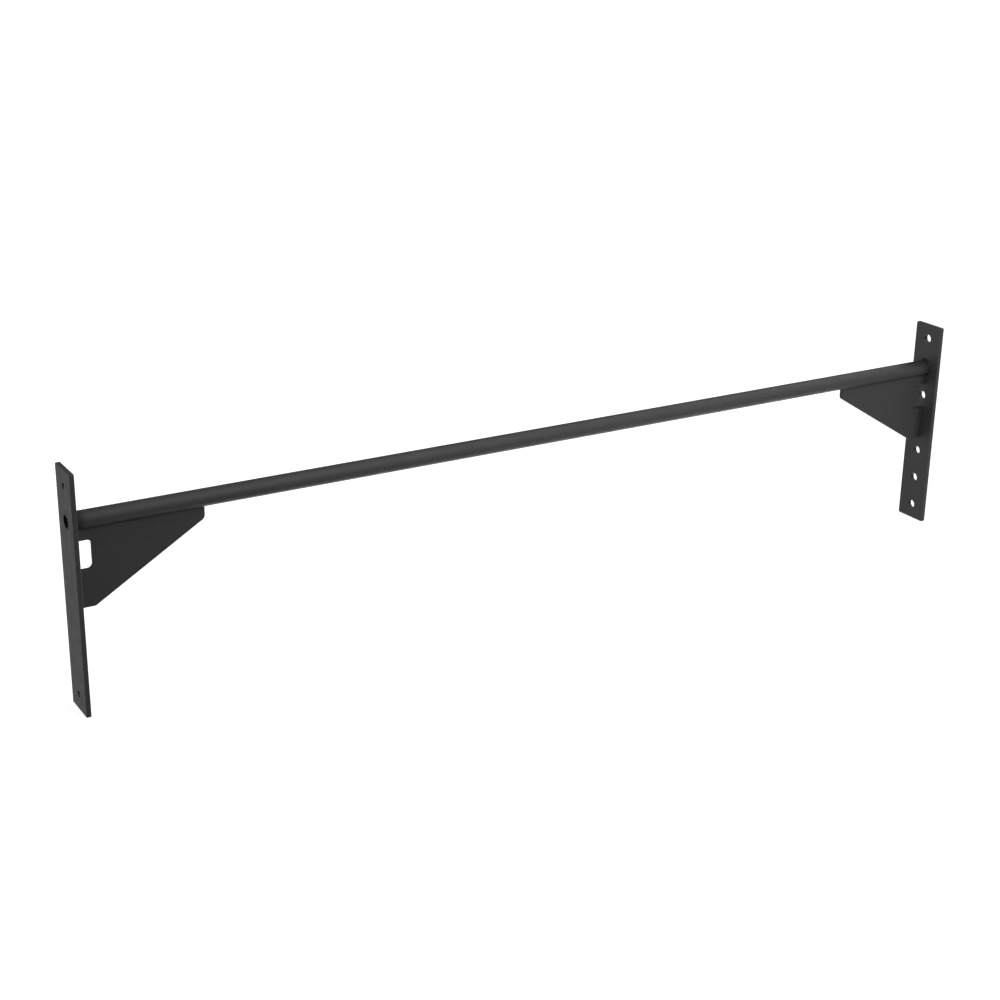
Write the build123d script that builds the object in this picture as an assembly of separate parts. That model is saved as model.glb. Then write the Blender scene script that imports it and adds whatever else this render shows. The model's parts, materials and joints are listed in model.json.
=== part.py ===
from build123d import *

import math
import os

# A pull-up bar that bolts between two uprights: a steel tube held by an end
# plate at each end, with a triangular gusset under each end of the tube.
#
# Frame: millimetres, +X along the bar, +Z up.  The origin is on the bar's
# axis, half way between the end plates.  The object is symmetric about Y = 0.
# Every end piece is built at the right end (+X) and mirrored for the left,
# apart from the holes, which differ.

# ---------------------------------------------------------------- dimensions

# The uprights
BAY_WIDTH = 1800.0            # between the end plates' inner faces
HOLE_PITCH = 60.0             # the uprights' hole pitch, which the plates follow

# The bar: a 30 x 4 tube
BAR_RADIUS = 15.0
BAR_WALL = 4.0

# The end plates: 70 x 8 flat bar
PLATE_WIDTH = 70.0
PLATE_THICKNESS = 8.0
PLATE_MARGIN = 29.0           # beyond the first and the last hole
PLATE_CORNER_RADIUS = 3.0
HOLE_RIM_RADIUS = 0.4

# Each hole's height above the bar's axis, in pitches
RIGHT_HOLE_STEPS = [1, -1, -3, -4, -5]
LEFT_HOLE_STEPS = [1, -5]
RIGHT_HOLE_RADIUS = 8.5       # clears an M16 bolt
LEFT_HOLE_RADIUS = 5.5        # clears an M10 bolt

# The gussets: 8 mm plate in the bar's mid-plane
GUSSET_THICKNESS = 8.0
GUSSET_REACH = 222.0          # along the bar, from the plate
GUSSET_TIP_HEIGHT = 19.5      # of the square end, below the bar
GUSSET_TIP_RADIUS = 10.0
GUSSET_DROP = 150.0           # of the bottom edge, below the bar's axis
GUSSET_FOOT = 30.0            # length of the bottom edge

# The notch in each gusset, beside the plate: room for the bolt head or the
# nut at the hole just below the bar
NOTCH_DEPTH = 30.0
NOTCH_HEIGHT = 50.0
NOTCH_RADIUS = 8.0

# Free edges are eased by this much, as blasting and coating leave them
ARRIS_RADIUS = 0.8

# The weld beads
RING_WELD_LEG = 4.0           # around the bar, on the plate's inner face
SEAM_WELD_LEG = 2.0           # in the bevel at the bar's end, ground flush
BEAD_LEG = 3.0                # along the gusset's edges

# ------------------------------------------------------------ derived places

INNER_FACE = BAY_WIDTH / 2
OUTER_FACE = INNER_FACE + PLATE_THICKNESS
PLATE_TOP = HOLE_PITCH * RIGHT_HOLE_STEPS[0] + PLATE_MARGIN
PLATE_BOTTOM = HOLE_PITCH * RIGHT_HOLE_STEPS[-1] - PLATE_MARGIN
GUSSET_TIP = INNER_FACE - GUSSET_REACH
GUSSET_SIDE = GUSSET_THICKNESS / 2
NOTCH_TOP = -HOLE_PITCH + NOTCH_HEIGHT / 2
NOTCH_BOTTOM = -HOLE_PITCH - NOTCH_HEIGHT / 2
BEYOND = 50.0                 # how far a cutting shape runs past what it cuts


def turned_about_bar(points):
    """Ring about the bar's axis from a section given as (x, radius) points."""
    section = make_face(Polyline(*points, close=True))
    on_xz = Plane(origin=(0, 0, 0), x_dir=(1, 0, 0), z_dir=(0, -1, 0))
    return revolve(on_xz * section, axis=Axis.X, revolution_arc=360)


def bar_envelope():
    """Solid rod of the bar's outer size, used to cope what meets the bar."""
    length = 2 * (OUTER_FACE + BEYOND)
    return Plane.YZ * Cylinder(BAR_RADIUS, length)


def grip_bar():
    """The tube, which runs right through both end plates."""
    length = 2 * OUTER_FACE
    outside = Cylinder(BAR_RADIUS, length)
    bore = Cylinder(BAR_RADIUS - BAR_WALL, length)
    return Plane.YZ * (outside - bore)


def seam_weld():
    """Filler in the bevel round the bar's end, flush with the outer face."""
    return turned_about_bar([
        (OUTER_FACE, BAR_RADIUS),
        (OUTER_FACE, BAR_RADIUS + SEAM_WELD_LEG),
        (OUTER_FACE - SEAM_WELD_LEG, BAR_RADIUS),
    ])


def end_plate(hole_steps, hole_radius):
    """Flat bar with the bar's hole and its bevel, and the mounting holes."""
    height = PLATE_TOP - PLATE_BOTTOM
    centre_x = (INNER_FACE + OUTER_FACE) / 2
    centre_z = (PLATE_TOP + PLATE_BOTTOM) / 2
    plate = Pos(centre_x, 0, centre_z) * Box(PLATE_THICKNESS, PLATE_WIDTH, height)
    plate = fillet(plate.edges().filter_by(Axis.X), PLATE_CORNER_RADIUS)
    outline = plate.faces().filter_by(Axis.X).edges()
    plate = fillet(outline, ARRIS_RADIUS)
    for step in hole_steps:
        hole = Plane.YZ * Cylinder(hole_radius, PLATE_THICKNESS)
        plate -= Pos(centre_x, 0, step * HOLE_PITCH) * hole
    rims = plate.edges().filter_by(GeomType.CIRCLE).filter_by(
        lambda edge: abs(edge.radius - hole_radius) < 0.01
    )
    plate = fillet(rims, HOLE_RIM_RADIUS)
    return plate - bar_envelope() - seam_weld()


def gusset():
    """Triangular plate under the bar, coped to it, with the bolt notch."""
    tip_bottom = -BAR_RADIUS - GUSSET_TIP_HEIGHT
    foot_x = INNER_FACE - GUSSET_FOOT
    outline = make_face(Polyline(
        (INNER_FACE, -BAR_RADIUS / 2),
        (GUSSET_TIP, -BAR_RADIUS / 2),
        (GUSSET_TIP, tip_bottom),
        (foot_x, -GUSSET_DROP),
        (INNER_FACE, -GUSSET_DROP),
        close=True,
    ))
    tip_corner = outline.vertices().filter_by(
        lambda v: abs(v.X - GUSSET_TIP) < 0.01 and abs(v.Y - tip_bottom) < 0.01
    )
    outline = fillet(tip_corner, GUSSET_TIP_RADIUS)
    # The notch is a rounded rectangle, half of which lies beyond the plate's
    # face, so that only its two inner corners show.
    notch = RectangleRounded(2 * NOTCH_DEPTH, NOTCH_HEIGHT, NOTCH_RADIUS)
    outline -= Pos(INNER_FACE, -HOLE_PITCH) * notch
    body = extrude(Plane.XZ * outline, amount=GUSSET_SIDE, both=True)
    body -= bar_envelope()
    return fillet(free_gusset_edges(body), ARRIS_RADIUS)


def free_gusset_edges(body):
    """The long edges of both sides that no weld covers."""

    def is_free(edge):
        middle = edge @ 0.5
        on_a_side = abs(abs(middle.Y) - GUSSET_SIDE) < 0.01
        off_the_plate = middle.X < INNER_FACE - 0.01
        off_the_bar = middle.Z < -BAR_RADIUS - 0.01
        tip_end = middle.X < GUSSET_TIP + 0.01
        return on_a_side and off_the_plate and (off_the_bar or tip_end)

    return body.edges().filter_by(is_free)


def ring_weld(gusset_body):
    """Fillet weld round the bar on the plate's inner face, up to the gusset."""
    ring = turned_about_bar([
        (INNER_FACE, BAR_RADIUS),
        (INNER_FACE, BAR_RADIUS + RING_WELD_LEG),
        (INNER_FACE - RING_WELD_LEG, BAR_RADIUS),
    ])
    return ring - gusset_body


def bar_bead(neighbour):
    """Fillet weld along the bar's underside, on the gusset's +Y side."""
    root_z = -math.sqrt(BAR_RADIUS**2 - GUSSET_SIDE**2)
    root_angle = math.asin(GUSSET_SIDE / BAR_RADIUS)
    toe_angle = root_angle + BEAD_LEG / BAR_RADIUS
    toe = (BAR_RADIUS * math.sin(toe_angle), -BAR_RADIUS * math.cos(toe_angle))
    section = make_face(Polyline(
        (GUSSET_SIDE, root_z + BEAD_LEG),
        (GUSSET_SIDE, root_z - BEAD_LEG),
        toe,
        close=True,
    ))
    length = GUSSET_REACH - GUSSET_TIP_RADIUS
    bead = extrude(Plane.YZ * section, amount=length)
    bead = Pos(INNER_FACE - length, 0, 0) * bead
    return bead - bar_envelope() - neighbour


def plate_bead(bottom, top, neighbours):
    """Fillet weld up the plate's inner face, on the gusset's +Y side."""
    section = make_face(Polyline(
        (INNER_FACE, GUSSET_SIDE),
        (INNER_FACE - BEAD_LEG, GUSSET_SIDE),
        (INNER_FACE, GUSSET_SIDE + BEAD_LEG),
        close=True,
    ))
    bead = Pos(0, 0, bottom) * extrude(section, amount=top - bottom)
    for neighbour in neighbours:
        bead -= neighbour
    return bead


def right_end_pieces():
    """Everything at the right end but the end plate, by name."""
    brace = gusset()
    ring = ring_weld(brace)
    along_bar = bar_bead(ring)
    neck = plate_bead(NOTCH_TOP, -BAR_RADIUS, [ring, along_bar, bar_envelope()])
    foot = plate_bead(-GUSSET_DROP, NOTCH_BOTTOM, [])
    pieces = {"gusset": brace, "ring_weld": ring, "seam_weld": seam_weld()}
    beads = {"bar_weld": along_bar, "neck_weld": neck, "foot_weld": foot}
    for name, bead in beads.items():
        pieces[name + "_rear"] = bead
        pieces[name + "_front"] = mirror(bead, Plane.XZ)
    return pieces


def all_nodes():
    """Every node's shape, by node name."""
    nodes = {
        "grip_bar": grip_bar(),
        "right_end_plate": end_plate(RIGHT_HOLE_STEPS, RIGHT_HOLE_RADIUS),
        "left_end_plate": mirror(end_plate(LEFT_HOLE_STEPS, LEFT_HOLE_RADIUS), Plane.YZ),
    }
    for name, shape in right_end_pieces().items():
        nodes["right_" + name] = shape
        nodes["left_" + name] = mirror(shape, Plane.YZ)
    return nodes


os.makedirs("parts", exist_ok=True)
for node, shape in all_nodes().items():
    export_step(shape, os.path.join("parts", node + ".step"))
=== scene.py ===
import json
import math

import bmesh
import bpy
from mathutils import Matrix, Vector


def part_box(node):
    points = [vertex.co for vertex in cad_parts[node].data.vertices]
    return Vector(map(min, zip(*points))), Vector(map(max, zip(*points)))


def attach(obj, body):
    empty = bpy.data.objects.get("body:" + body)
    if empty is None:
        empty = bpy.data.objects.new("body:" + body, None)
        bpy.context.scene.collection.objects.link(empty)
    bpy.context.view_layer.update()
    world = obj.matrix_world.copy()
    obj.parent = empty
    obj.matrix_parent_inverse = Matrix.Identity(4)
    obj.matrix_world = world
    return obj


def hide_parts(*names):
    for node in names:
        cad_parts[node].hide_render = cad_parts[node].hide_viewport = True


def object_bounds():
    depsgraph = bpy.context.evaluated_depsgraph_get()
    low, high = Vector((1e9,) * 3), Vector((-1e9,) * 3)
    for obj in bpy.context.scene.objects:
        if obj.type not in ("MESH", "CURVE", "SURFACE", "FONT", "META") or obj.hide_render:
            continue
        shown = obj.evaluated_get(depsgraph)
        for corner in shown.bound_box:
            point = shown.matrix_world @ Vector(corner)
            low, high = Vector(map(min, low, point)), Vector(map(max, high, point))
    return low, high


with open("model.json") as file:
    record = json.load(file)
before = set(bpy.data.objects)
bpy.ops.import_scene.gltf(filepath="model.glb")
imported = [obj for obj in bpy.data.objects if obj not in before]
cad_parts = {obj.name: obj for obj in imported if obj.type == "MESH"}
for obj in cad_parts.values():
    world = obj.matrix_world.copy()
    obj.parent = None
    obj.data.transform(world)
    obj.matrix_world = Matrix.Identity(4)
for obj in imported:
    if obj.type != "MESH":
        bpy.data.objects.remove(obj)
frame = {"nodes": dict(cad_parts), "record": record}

# The looks of a welded, powder-coated pull-up bar.  Metres, in the CAD frame:
# +X along the bar, +Z up, the origin on the bar's axis half way along it.
# The flat plates and gussets are the CAD's own.  The tube and the weld beads
# are replaced by finer meshes in the same places.

CAD_LOW, CAD_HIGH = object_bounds()
MM = 0.001

# ------------------------------------------------------------------- places

MOUNTS = {mount["name"]: mount for mount in frame["record"]["mounts"]}

BAR_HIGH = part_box("grip_bar")[1]
BAR_RADIUS = BAR_HIGH.z
BORE_RADIUS = MOUNTS["bar_bore"]["dims"]["r_mm"] * MM
OUTER_FACE = BAR_HIGH.x
PLATE_LOW, PLATE_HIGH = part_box("right_end_plate")
INNER_FACE = PLATE_LOW.x
GUSSET_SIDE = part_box("right_gusset")[1].y
RING_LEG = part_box("right_ring_weld")[1].y - BAR_RADIUS
BAR_BEAD_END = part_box("right_bar_weld_rear")[0].x
NECK_LOW, NECK_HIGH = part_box("right_neck_weld_rear")
FOOT_LOW, FOOT_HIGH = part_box("right_foot_weld_rear")
BEAD_LEG = FOOT_HIGH.y - FOOT_LOW.y
FLOOR_HEIGHT = CAD_LOW.z

# -------------------------------------------------------------------- meshes


def finished(name, bm, material, slot, *nodes):
    """Turns a bmesh into a piece that stands for those CAD nodes."""
    bmesh.ops.recalc_face_normals(bm, faces=bm.faces)
    mesh = bpy.data.meshes.new(name)
    bm.to_mesh(mesh)
    bm.free()
    mesh.materials.append(material)
    piece = bpy.data.objects.new(name, mesh)
    bpy.context.scene.collection.objects.link(piece)
    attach(piece, "root")
    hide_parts(*nodes)
    return piece


def skin(bm, rings, closed_path):
    """Joins rings of vertices, each a closed loop, into a closed skin."""
    count = len(rings[0])
    pairs = list(zip(rings, rings[1:]))
    if closed_path:
        pairs.append((rings[-1], rings[0]))
    for first, second in pairs:
        for i in range(count):
            j = (i + 1) % count
            bm.faces.new((first[i], first[j], second[j], second[i])).smooth = True
    if not closed_path:
        bm.faces.new(rings[0])
        bm.faces.new(rings[-1])


def lathed(bm, profile, segments):
    """Rings of vertices from a closed (x, radius) profile, about the bar's axis."""
    rings = []
    for step in range(segments):
        angle = 2 * math.pi * step / segments
        rings.append([
            bm.verts.new((x, radius * math.cos(angle), radius * math.sin(angle)))
            for x, radius in profile
        ])
    return rings


# ----------------------------------------------------------------- the tube

TURN_SEGMENTS = 96
TUBE_SPANS = 60               # along the tube, so that its faces stay short
RIM_EASE = 0.5 * MM           # at each end of the bore
SHARP_ANGLE = math.radians(30)


def tube(material, bore_material):
    """The bar: a lathed tube whose bore has an eased rim at each end."""
    length = 2 * OUTER_FACE
    outside = [(-OUTER_FACE + length * i / TUBE_SPANS, BAR_RADIUS) for i in range(TUBE_SPANS + 1)]
    inside = [
        (OUTER_FACE, BORE_RADIUS + RIM_EASE),
        (OUTER_FACE - RIM_EASE, BORE_RADIUS),
        (-OUTER_FACE + RIM_EASE, BORE_RADIUS),
        (-OUTER_FACE, BORE_RADIUS + RIM_EASE),
    ]
    bm = bmesh.new()
    skin(bm, lathed(bm, outside + inside, TURN_SEGMENTS), closed_path=True)
    for edge in bm.edges:
        edge.smooth = edge.calc_face_angle(0) < SHARP_ANGLE
    for face in bm.faces:
        if all(math.hypot(v.co.y, v.co.z) < BORE_RADIUS + RIM_EASE / 2 for v in face.verts):
            face.material_index = 1
    piece = finished("tube", bm, material, "bar_coat", "grip_bar")
    piece.data.materials.append(bore_material)


# ---------------------------------------------------------------- the welds

BAR_BEAD_SHARE = 0.72         # of the CAD's leg, for the beads along the bar
BAR_BEAD_START = INNER_FACE - 1 * MM    # inside the ring bead
FACE_SAMPLES = 10             # across a bead's face
HOLLOW = 0.16                 # how far the face sags at its middle, in legs
TOE_DEPTH = 0.12 * MM         # how far the toes run under the steel's surface

RIPPLE_PITCH = 2.0 * MM
RIPPLE_HEIGHT = 0.09 * MM
RIPPLE_SAMPLES = 6            # along the bead, for each ripple
RIPPLE_BOW = 0.55             # how far a ripple's middle leads, in pitches
RIPPLE_RISE = 0.72            # share of a ripple that rises, before it drops
RIPPLE_FADE = 3.2             # how soon the ripples reach full height, off a toe
RIPPLE_WANDER = 0.12          # unevenness of the pitch, in pitches

LEG_WANDER = 0.08             # share by which the legs grow and shrink
LONG_WAVE = 23.0 * MM         # the two wavelengths of that unevenness
SHORT_WAVE = 9.7 * MM
LONG_SHARE = 0.6              # of the unevenness; the short wave has the rest
WAVE_SHIFT = 2.3              # sets the short wave apart from the long one

END_ROUNDING = 3.5 * MM       # over which a bead swells from its end
END_SIZE = 0.25               # of the full section, right at the end

SEAM_DIP = 0.10 * MM          # depth of the flush seam's dressed groove
SEAM_OVERLAP = 0.10 * MM      # into the tube's end


def wander(distance, seed):
    """A slow, smooth unevenness along a bead, from -1 to 1."""
    long_wave = math.sin(2 * math.pi * distance / LONG_WAVE + seed)
    short_wave = math.sin(2 * math.pi * distance / SHORT_WAVE + WAVE_SHIFT * seed)
    return LONG_SHARE * long_wave + (1 - LONG_SHARE) * short_wave


def ripple(distance, across, seed):
    """Height of the crescent ripples at a point of the bead's face, 0 to 1."""
    bow = 1 - (2 * across - 1) ** 2
    phase = distance / RIPPLE_PITCH - RIPPLE_BOW * bow + RIPPLE_WANDER * wander(distance, seed + 1)
    share = phase - math.floor(phase)
    if share < RIPPLE_RISE:
        height = math.sin(0.5 * math.pi * share / RIPPLE_RISE)
    else:
        height = math.cos(0.5 * math.pi * (share - RIPPLE_RISE) / (1 - RIPPLE_RISE))
    return height * min(1.0, RIPPLE_FADE * bow)


def bead_section(root, leg_a, leg_b, distance, size, seed):
    """Points round a bead's section: its face from toe to toe, then its root."""
    a = leg_a * size * (1 + LEG_WANDER * wander(distance, seed))
    b = leg_b * size * (1 + LEG_WANDER * wander(distance, seed + 4))
    inward = -(leg_a.normalized() + leg_b.normalized()).normalized()
    toe_a = root + a + inward * TOE_DEPTH
    toe_b = root + b + inward * TOE_DEPTH
    points = []
    for step in range(FACE_SAMPLES + 1):
        across = step / FACE_SAMPLES
        rise = RIPPLE_HEIGHT * ripple(distance, across, seed)
        rise -= HOLLOW * a.length * 4 * across * (1 - across)
        points.append(toe_a.lerp(toe_b, across) - inward * rise * size)
    points.append(root + inward * (2 * TOE_DEPTH))
    return points


def end_size(distance, length):
    """How full a bead is near its two ends, which are rounded off."""
    nearest = min(distance, length - distance) / END_ROUNDING
    if nearest >= 1:
        return 1.0
    return END_SIZE + (1 - END_SIZE) * math.sqrt(max(0.0, 1 - (1 - nearest) ** 2))


def straight_bead(name, start, end, leg_a, leg_b, material, node, seed):
    """A bead from start to end along a root line, with the given legs."""
    length = (end - start).length
    steps = math.ceil(length / RIPPLE_PITCH * RIPPLE_SAMPLES)
    bm = bmesh.new()
    rings = []
    for step in range(steps + 1):
        distance = length * step / steps
        root = start.lerp(end, step / steps)
        size = end_size(distance, length)
        section = bead_section(root, leg_a, leg_b, distance, size, seed)
        rings.append([bm.verts.new(p) for p in section])
    skin(bm, rings, closed_path=False)
    finished(name, bm, material, "weld_coat", node)


def ring_bead(name, side, material, node, seed):
    """The fillet round the bar on a plate's inner face."""
    ripples = round(2 * math.pi * (BAR_RADIUS + RING_LEG / 2) / RIPPLE_PITCH)
    steps = ripples * RIPPLE_SAMPLES
    along_bar = Vector((-side * RING_LEG, 0, 0))
    bm = bmesh.new()
    rings = []
    for step in range(steps):
        angle = 2 * math.pi * step / steps
        out = Vector((0, math.cos(angle), math.sin(angle)))
        root = out * BAR_RADIUS + Vector((side * INNER_FACE, 0, 0))
        distance = ripples * RIPPLE_PITCH * step / steps
        section = bead_section(root, out * RING_LEG, along_bar, distance, 1.0, seed)
        rings.append([bm.verts.new(p) for p in section])
    skin(bm, rings, closed_path=True)
    finished(name, bm, material, "weld_coat", node)


def seam_ring(name, side, material, node):
    """The ground-flush seam round the bar's end: a shallow dressed groove."""
    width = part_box(node)[1].y - BAR_RADIUS
    # Each point's depth under the plate's face, and its distance out from the bar
    groove = [
        (0.0, -SEAM_OVERLAP), (SEAM_DIP * 0.6, width * 0.25), (SEAM_DIP, width * 0.5),
        (SEAM_DIP * 0.6, width * 0.75), (0.0, width), (width, -SEAM_OVERLAP),
    ]
    profile = [(side * (OUTER_FACE - depth), BAR_RADIUS + out) for depth, out in groove]
    bm = bmesh.new()
    skin(bm, lathed(bm, profile, TURN_SEGMENTS), closed_path=True)
    finished(name, bm, material, "weld_coat", node)


def bar_bead_legs(facing):
    """Root height and legs of the bead between a gusset's side and the bar."""
    root_angle = math.asin(GUSSET_SIDE / BAR_RADIUS)
    toe_angle = root_angle + BEAD_LEG / BAR_RADIUS
    root_z = -BAR_RADIUS * math.cos(root_angle)
    down = Vector((0, 0, -BEAD_LEG))
    toe = Vector((
        0,
        facing * (BAR_RADIUS * math.sin(toe_angle) - GUSSET_SIDE),
        -BAR_RADIUS * math.cos(toe_angle) - root_z,
    ))
    return root_z, down * BAR_BEAD_SHARE, toe * BAR_BEAD_SHARE


def gusset_beads(side, end, facing, where, material, seed):
    """The three beads on one side of one gusset: along the bar, neck and foot."""
    face_y = facing * GUSSET_SIDE
    root_z, down, toe = bar_bead_legs(facing)
    straight_bead(
        f"{end}_bar_bead_{where}",
        Vector((side * BAR_BEAD_START, face_y, root_z)),
        Vector((side * BAR_BEAD_END, face_y, root_z)),
        down, toe, material, f"{end}_bar_weld_{where}", seed,
    )
    outward = Vector((0, facing * BEAD_LEG, 0))
    inward = Vector((-side * BEAD_LEG, 0, 0))
    for part, low, high in (("neck", NECK_LOW.z, NECK_HIGH.z), ("foot", FOOT_LOW.z, FOOT_HIGH.z)):
        straight_bead(
            f"{end}_{part}_bead_{where}",
            Vector((side * INNER_FACE, face_y, low)),
            Vector((side * INNER_FACE, face_y, high)),
            outward, inward, material, f"{end}_{part}_weld_{where}", seed + 0.5,
        )


def welds(material, flush_material):
    """Every bead of both ends, and the flush seams in the plates' coat."""
    seed = 0
    for side, end in ((-1, "left"), (1, "right")):
        seed += 1
        ring_bead(end + "_ring_bead", side, material, end + "_ring_weld", seed)
        seam_ring(end + "_seam", side, flush_material, end + "_seam_weld")
        for facing, where in ((-1, "front"), (1, "rear")):
            seed += 1
            gusset_beads(side, end, facing, where, material, seed)


# ------------------------------------------------------------- the materials


class Shader:
    """A material's node tree, with short ways to add to it."""

    def __init__(self, name):
        self.material = bpy.data.materials.new(name)
        self.material.use_nodes = True
        self.tree = self.material.node_tree
        self.tree.nodes.clear()

    def add(self, kind, **sockets):
        """Adds a node; each socket gets a value or another node's output."""
        node = self.tree.nodes.new(kind)
        for key, value in sockets.items():
            self.plug(node.inputs[key.replace("_", " ")], value)
        return node

    def plug(self, socket, value):
        """Gives an input socket a value or another node's output."""
        if isinstance(value, bpy.types.NodeSocket):
            self.tree.links.new(value, socket)
        else:
            socket.default_value = value

    def noise(self, where, scale, detail=2.0):
        """Noise from 0 to 1, with scale cells per metre."""
        node = self.add("ShaderNodeTexNoise", Vector=where, Scale=scale, Detail=detail)
        return node.outputs["Fac"]

    def spread(self, value, low, high, start=0.3, stop=0.7):
        """Maps start..stop of a value onto low..high."""
        node = self.add(
            "ShaderNodeMapRange", Value=value, From_Min=start, From_Max=stop, To_Min=low, To_Max=high
        )
        return node.outputs["Result"]

    def maths(self, operation, *values):
        """The result of one arithmetic operation."""
        node = self.tree.nodes.new("ShaderNodeMath")
        node.operation = operation
        for socket, value in zip(node.inputs, values):
            self.plug(socket, value)
        return node.outputs[0]

    def blend(self, share, first, second):
        """A colour between two colours."""
        node = self.tree.nodes.new("ShaderNodeMix")
        node.data_type = "RGBA"
        self.plug(node.inputs["Factor"], share)
        self.plug(node.inputs[6], first)
        self.plug(node.inputs[7], second)
        return node.outputs[2]

    def bump(self, height, strength, distance, **base):
        """A bumped normal, on a base of Normal=...; heights 0 to 1 are worth distance metres."""
        node = self.add("ShaderNodeBump", Height=height, Strength=strength, Distance=distance, **base)
        return node.outputs["Normal"]

    def complete(self, surface):
        """Puts a shader node on the surface and returns the material."""
        self.add("ShaderNodeOutputMaterial", Surface=surface.outputs[0])
        return self.material


# The powder coat's texture, in noise cells per metre, and its heights
MOTTLE_SCALE = 9.0
CLOUD_SCALE = 55.0
PEEL_SCALE = 420.0
GRAIN_SCALE = 1500.0
PEEL_HEIGHT = 0.18 * MM
GRAIN_HEIGHT = 0.06 * MM

# Its tones, as shares of the coat's own grey
MOTTLE_DARK = 0.93
MOTTLE_LIGHT = 1.07
PIT_TONE = 0.55
SPECK_TONE = 1.7
BLUE_CAST = 0.0015            # added to the blue of every grey

# The lighter arrises, where the eased normal leaves the flat one: partly a thin coat, partly a painted
# highlight
ARRIS_RADIUS = 1.1 * MM
ARRIS_SHARE = 0.55            # of the arris's grey, where the thin coat and the painted highlight peak
ARRIS_PEAK_COSINE = 0.86         # cosine between the two normals where the lightening peaks
ARRIS_OUTER = 0.995           # and where the lightening ends, at the coat's full thickness and with no highlight

# Painted shade on the holes' walls, found in the zone of a plate that its outline stays out of
HOLE_SHADE_LEVEL = 0.012            # the painted shade's grey there
ZONE_HALF_WIDTH = 0.6 * PLATE_HIGH.y
ZONE_FROM_END = 5 * MM        # from the plate's top and its bottom
ZONE_FADE = 2 * MM            # over which the zone fades out

# The bore's bare mill scale, near black: partly the scale's own grey, partly painted shade. Its noise in
# cells per metre
BORE_DARK = (0.004, 0.004, 0.005, 1.0)
BORE_LIGHT = (0.012, 0.011, 0.012, 1.0)
STREAK_SCALE = 700.0
STREAK_DRAW = 0.05            # of that, along the tube: the streaks are drawn out
PITTING_SCALE = 900.0
PITTING_HEIGHT = 0.05 * MM


def grey(level, warmth=0.0):
    """A dark grey, as linear RGBA."""
    return (level * (1 + warmth), level, level * (1 - warmth) + BLUE_CAST, 1.0)


def hole_walls_for_painted_shade(shader, where, flat):
    """Where the painted shade goes: 1 on the walls of an end plate's holes, 0 on its faces and its
    edges.
    """
    normal = shader.add("ShaderNodeSeparateXYZ", Vector=flat)
    place = shader.add("ShaderNodeSeparateXYZ", Vector=where)
    tilt = shader.maths("ABSOLUTE", normal.outputs["X"])
    across = shader.maths("ABSOLUTE", place.outputs["Y"])
    height = place.outputs["Z"]
    low = PLATE_LOW.z + ZONE_FROM_END
    high = PLATE_HIGH.z - ZONE_FROM_END
    wall = shader.spread(tilt, 1, 0, start=0.3, stop=0.8)
    inner = shader.spread(across, 1, 0, start=ZONE_HALF_WIDTH, stop=ZONE_HALF_WIDTH + ZONE_FADE)
    above = shader.spread(height, 0, 1, start=low, stop=low + ZONE_FADE)
    below = shader.spread(height, 1, 0, start=high - ZONE_FADE, stop=high)
    in_width = shader.maths("MULTIPLY", wall, inner)
    in_height = shader.maths("MULTIPLY", above, below)
    return shader.maths("MULTIPLY", in_width, in_height)


def arris_thin_coat_and_highlight(shader, flat):
    """How much of the lighter arris grey goes on: ARRIS_SHARE along an arris, and 0 elsewhere; the
    lightening is partly a thin coat, partly a painted highlight.
    """
    eased = shader.add("ShaderNodeBevel", Radius=ARRIS_RADIUS)
    eased.samples = 4
    turn = shader.tree.nodes.new("ShaderNodeVectorMath")
    turn.operation = "DOT_PRODUCT"
    shader.plug(turn.inputs[0], eased.outputs["Normal"])
    shader.plug(turn.inputs[1], flat)
    return shader.spread(turn.outputs["Value"], ARRIS_SHARE, 0.0, start=ARRIS_PEAK_COSINE, stop=ARRIS_OUTER)


def powder_coat(name, level, arris_highlight_level, painted_hole_shade=False):
    """Matte black powder coat: fine orange peel, faint mottling, lighter arrises that are partly a thin
    coat and partly a painted highlight, and, where asked, painted shade on the holes' walls.
    """
    shader = Shader(name)
    where = shader.add("ShaderNodeTexCoord").outputs["Object"]
    flat = shader.add("ShaderNodeNewGeometry").outputs["Normal"]
    mottle = shader.noise(where, MOTTLE_SCALE, detail=3.0)
    cloud = shader.noise(where, CLOUD_SCALE, detail=3.0)
    peel = shader.noise(where, PEEL_SCALE)
    grain = shader.noise(where, GRAIN_SCALE)

    dark = grey(level * MOTTLE_DARK)
    light = grey(level * MOTTLE_LIGHT, warmth=0.01)
    colour = shader.blend(shader.spread(mottle, 0, 1), dark, light)
    specks = shader.spread(grain, 0, 1, start=0.52, stop=0.72)
    pits = shader.spread(grain, 1, 0, start=0.30, stop=0.46)
    colour = shader.blend(specks, colour, grey(level * SPECK_TONE))
    colour = shader.blend(pits, colour, grey(level * PIT_TONE))
    # Lighter arrises: partly a thin coat, partly a painted highlight.
    colour = shader.blend(arris_thin_coat_and_highlight(shader, flat), colour, grey(arris_highlight_level))
    # Painted shade on the walls of the plate's holes.
    if painted_hole_shade:
        colour = shader.blend(hole_walls_for_painted_shade(shader, where, flat), colour, grey(HOLE_SHADE_LEVEL))

    normal = shader.bump(peel, 1.0, PEEL_HEIGHT)
    normal = shader.bump(grain, 1.0, GRAIN_HEIGHT, Normal=normal)
    roughness = shader.spread(cloud, 0.50, 0.60)
    return shader.complete(shader.add(
        "ShaderNodeBsdfPrincipled", Base_Color=colour, Roughness=roughness, Normal=normal,
        Metallic=0.0, Specular_IOR_Level=0.45,
    ))


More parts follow.
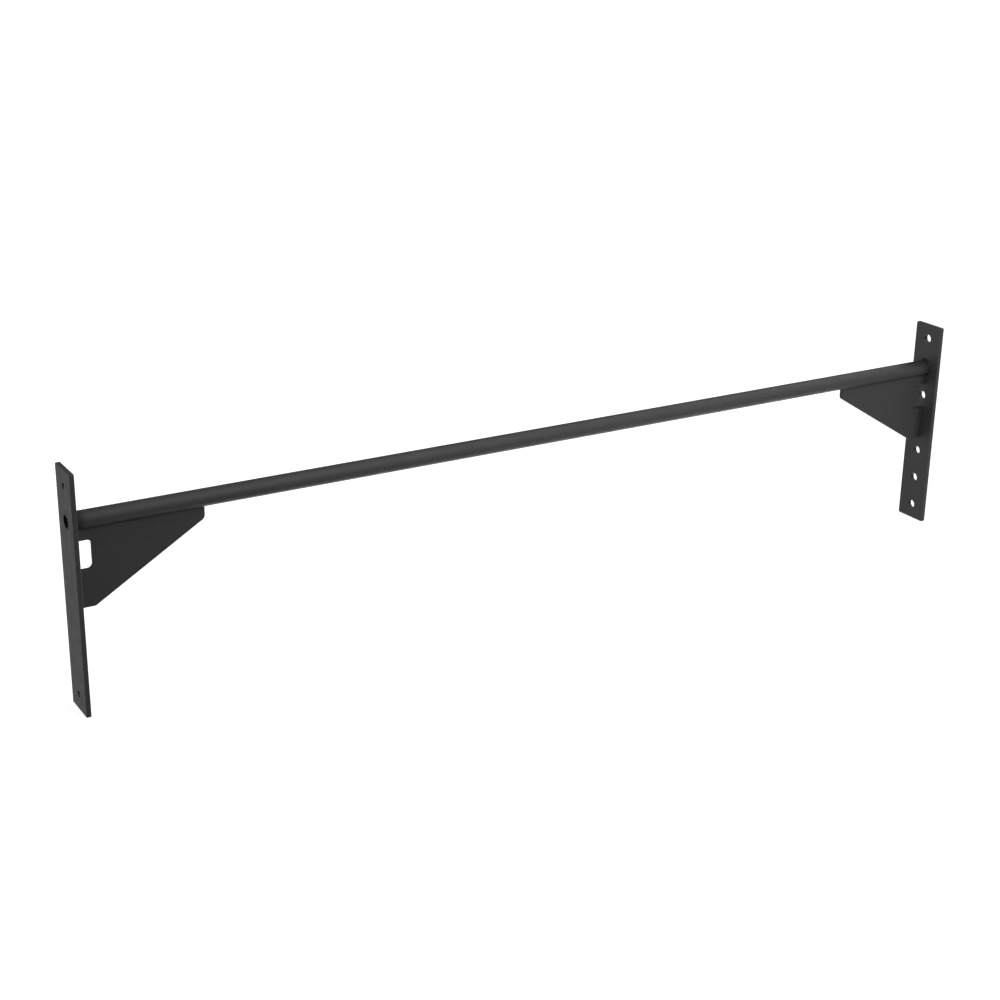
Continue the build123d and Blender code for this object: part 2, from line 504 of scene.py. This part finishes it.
def bore_scale_and_shade(name):
    """The bore's bare, blue-black mill scale, streaked along the tube; its near-black grey is partly the
    scale's own and partly painted shade.
    """
    shader = Shader(name)
    where = shader.add("ShaderNodeTexCoord").outputs["Object"]
    drawn = shader.add("ShaderNodeMapping", Vector=where, Scale=(STREAK_DRAW, 1.0, 1.0))
    streaks = shader.noise(drawn.outputs["Vector"], STREAK_SCALE, detail=3.0)
    pitting = shader.noise(where, PITTING_SCALE)
    # Near-black greys: partly mill scale, partly painted shade inside the bore.
    colour = shader.blend(shader.spread(streaks, 0, 1), BORE_DARK, BORE_LIGHT)
    normal = shader.bump(pitting, 0.4, PITTING_HEIGHT)
    return shader.complete(shader.add(
        "ShaderNodeBsdfPrincipled", Base_Color=colour, Roughness=0.75, Normal=normal,
        Specular_IOR_Level=0.15,
    ))


def coat_cad_nodes(coats):
    """Gives every CAD node its coat; the plates and gussets still show."""
    for name, node in frame["nodes"].items():
        if name.endswith("end_plate"):
            coat = coats["plate"]
        elif name.endswith("gusset"):
            coat = coats["gusset"]
        else:
            coat = coats["weld"]
        node.data.materials.clear()
        node.data.materials.append(coat)


# ---------------------------------------------------------------- the studio

# The camera: its place, and the direction in which it looks
CAMERA_PLACE = Vector((-1.691, -2.608, 1.043))
CAMERA_YAW = 31.17            # degrees, from +Y towards +X
CAMERA_PITCH = 20.68          # down
CAMERA_ROLL = -0.85
CAMERA_LENS = 65.14           # mm
SENSOR = 36.0
CAMERA_REACH = 200.0          # past the far edge of the floor

FLOOR_SIZE = 60.0
FLOOR_PAPER = (0.7, 0.7, 0.7, 1.0)
FLOOR_GLOW = 0.85             # keeps the floor white where the lights fall off
ROOM_SEEN = 1.1               # the room's strength as the camera sees it
ROOM_LIGHT = 0.01             # its strength as a light on the object

# Distant diffusers: azimuth from -Y towards +X, elevation, strength
DIFFUSER_SPREAD = 70          # degrees across
DIFFUSERS = {
    "front_right": (45, 28, 0.3),
    "right": (90, 28, 1.8),
    "left": (-90, 0, 0.7),
    "back_left": (-135, 0, 0.35),
    "top_left": (-60, 60, 0.4),
    "back": (180, 0, 0.2),
    "low_back": (180, -35, 0.4),
    "low_right": (120, -35, 2.2),
    "low_front": (60, -35, 0.15),
    "under": (0, -80, 0.15),
}

# Softboxes near the object: place, what it faces, power
SOFTBOX_SIZE = 1.0
SOFTBOXES = {
    "under_right_end": ((1.2, -1.1, -1.1), (1.2, 0, 0), 5.0),
    "beside_right_end": ((1.2, -1.6, 0.15), (1.2, 0, 0), 5.0),
    "over_middle": ((0, -1.1, 1.1), (0, 0, 0), 6.0),
    "beside_middle": ((0, -1.6, 0.15), (0, 0, 0), 1.5),
}


def photo_camera():
    """The camera, at the product picture's viewing angle."""
    yaw, pitch, roll = (math.radians(a) for a in (CAMERA_YAW, CAMERA_PITCH, CAMERA_ROLL))
    ahead = Vector((
        math.sin(yaw) * math.cos(pitch),
        math.cos(yaw) * math.cos(pitch),
        -math.sin(pitch),
    ))
    level_right = Vector((math.cos(yaw), -math.sin(yaw), 0))
    level_down = ahead.cross(level_right)
    right = math.cos(roll) * level_right + math.sin(roll) * level_down
    down = -math.sin(roll) * level_right + math.cos(roll) * level_down
    turn = Matrix((right, -down, -ahead)).transposed()
    data = bpy.data.cameras.new("camera")
    data.lens = CAMERA_LENS
    data.sensor_width = SENSOR
    data.sensor_fit = "HORIZONTAL"
    data.clip_end = CAMERA_REACH
    camera = bpy.data.objects.new("camera", data)
    camera.matrix_world = Matrix.Translation(CAMERA_PLACE) @ turn.to_4x4()
    bpy.context.scene.collection.objects.link(camera)
    bpy.context.scene.camera = camera


def lamp(name, kind, energy, facing):
    """A light of that kind that shines along facing."""
    data = bpy.data.lights.new(name, kind)
    data.energy = energy
    light = bpy.data.objects.new(name, data)
    light.rotation_euler = facing.to_track_quat("-Z", "Y").to_euler()
    bpy.context.scene.collection.objects.link(light)
    return light


def softbox(name, place, target, power):
    """One square area light, facing its target."""
    light = lamp(name, "AREA", power, Vector(target) - Vector(place))
    light.data.shape = "SQUARE"
    light.data.size = SOFTBOX_SIZE
    light.location = place
    light.visible_camera = False


def diffuser(name, azimuth, elevation, strength):
    """A wide, far light from that direction, even over the whole object."""
    around, up = math.radians(azimuth), math.radians(elevation)
    towards = Vector((
        math.sin(around) * math.cos(up),
        -math.cos(around) * math.cos(up),
        math.sin(up),
    ))
    light = lamp(name, "SUN", strength, -towards)
    light.data.angle = math.radians(DIFFUSER_SPREAD)


def floor():
    """A plain white sweep under the plates, clear from below."""
    half = FLOOR_SIZE / 2
    mesh = bpy.data.meshes.new("floor")
    corners = [(-half, -half), (half, -half), (half, half), (-half, half)]
    mesh.from_pydata([(x, y, FLOOR_HEIGHT) for x, y in corners], [], [(0, 1, 2, 3)])
    sheet = bpy.data.objects.new("floor", mesh)
    bpy.context.scene.collection.objects.link(sheet)
    shader = Shader("floor_white")
    paper = shader.add("ShaderNodeBsdfDiffuse", Color=FLOOR_PAPER)
    glow = shader.add("ShaderNodeEmission", Strength=FLOOR_GLOW)
    white = shader.add("ShaderNodeAddShader")
    shader.plug(white.inputs[0], paper.outputs[0])
    shader.plug(white.inputs[1], glow.outputs[0])
    clear = shader.add("ShaderNodeBsdfTransparent")
    either = shader.add("ShaderNodeMixShader")
    shader.plug(either.inputs[0], shader.add("ShaderNodeNewGeometry").outputs["Backfacing"])
    shader.plug(either.inputs[1], white.outputs[0])
    shader.plug(either.inputs[2], clear.outputs[0])
    mesh.materials.append(shader.complete(either))
    # The floor is only seen: its glare and its shade stay off the object.
    sheet.visible_diffuse = False
    sheet.visible_glossy = False
    sheet.visible_shadow = False


def room():
    """A white room that looks bright but lights the object only a little."""
    world = bpy.data.worlds.new("room")
    world.use_nodes = True
    tree = world.node_tree
    tree.nodes.clear()
    either = tree.nodes.new("ShaderNodeMixShader")
    seen = tree.nodes.new("ShaderNodeLightPath").outputs["Is Camera Ray"]
    tree.links.new(seen, either.inputs[0])
    for socket, strength in ((either.inputs[1], ROOM_LIGHT), (either.inputs[2], ROOM_SEEN)):
        background = tree.nodes.new("ShaderNodeBackground")
        background.inputs["Color"].default_value = (1.0, 1.0, 1.0, 1.0)
        background.inputs["Strength"].default_value = strength
        tree.links.new(background.outputs[0], socket)
    out = tree.nodes.new("ShaderNodeOutputWorld")
    tree.links.new(either.outputs[0], out.inputs["Surface"])
    bpy.context.scene.world = world


def studio():
    """Camera, lights, floor and room."""
    photo_camera()
    for name, settings in DIFFUSERS.items():
        diffuser(name, *settings)
    for name, settings in SOFTBOXES.items():
        softbox(name, *settings)
    floor()
    room()
    bpy.context.scene.view_settings.view_transform = "Standard"


# ------------------------------------------------------------------ the part

# Each coat's grey, and the lighter grey on its arrises: partly a thin coat, partly a painted highlight.
# The welds' very dark grey is painted shade in the creases they fill.
COATS = {
    "bar": powder_coat("bar_powder_coat", 0.050, 0.064),
    "plate": powder_coat("plate_powder_coat", 0.052, 0.13, painted_hole_shade=True),
    "gusset": powder_coat("gusset_powder_coat", 0.047, 0.10),
    # The welds' grey, far darker than the coat elsewhere, is painted shade in the creases.
    "weld": powder_coat("weld_powder_coat_painted_shade", 0.014, 0.020),
}
coat_cad_nodes(COATS)
tube(COATS["bar"], bore_scale_and_shade("bore_scale_and_painted_shade"))
welds(COATS["weld"], COATS["plate"])
studio()
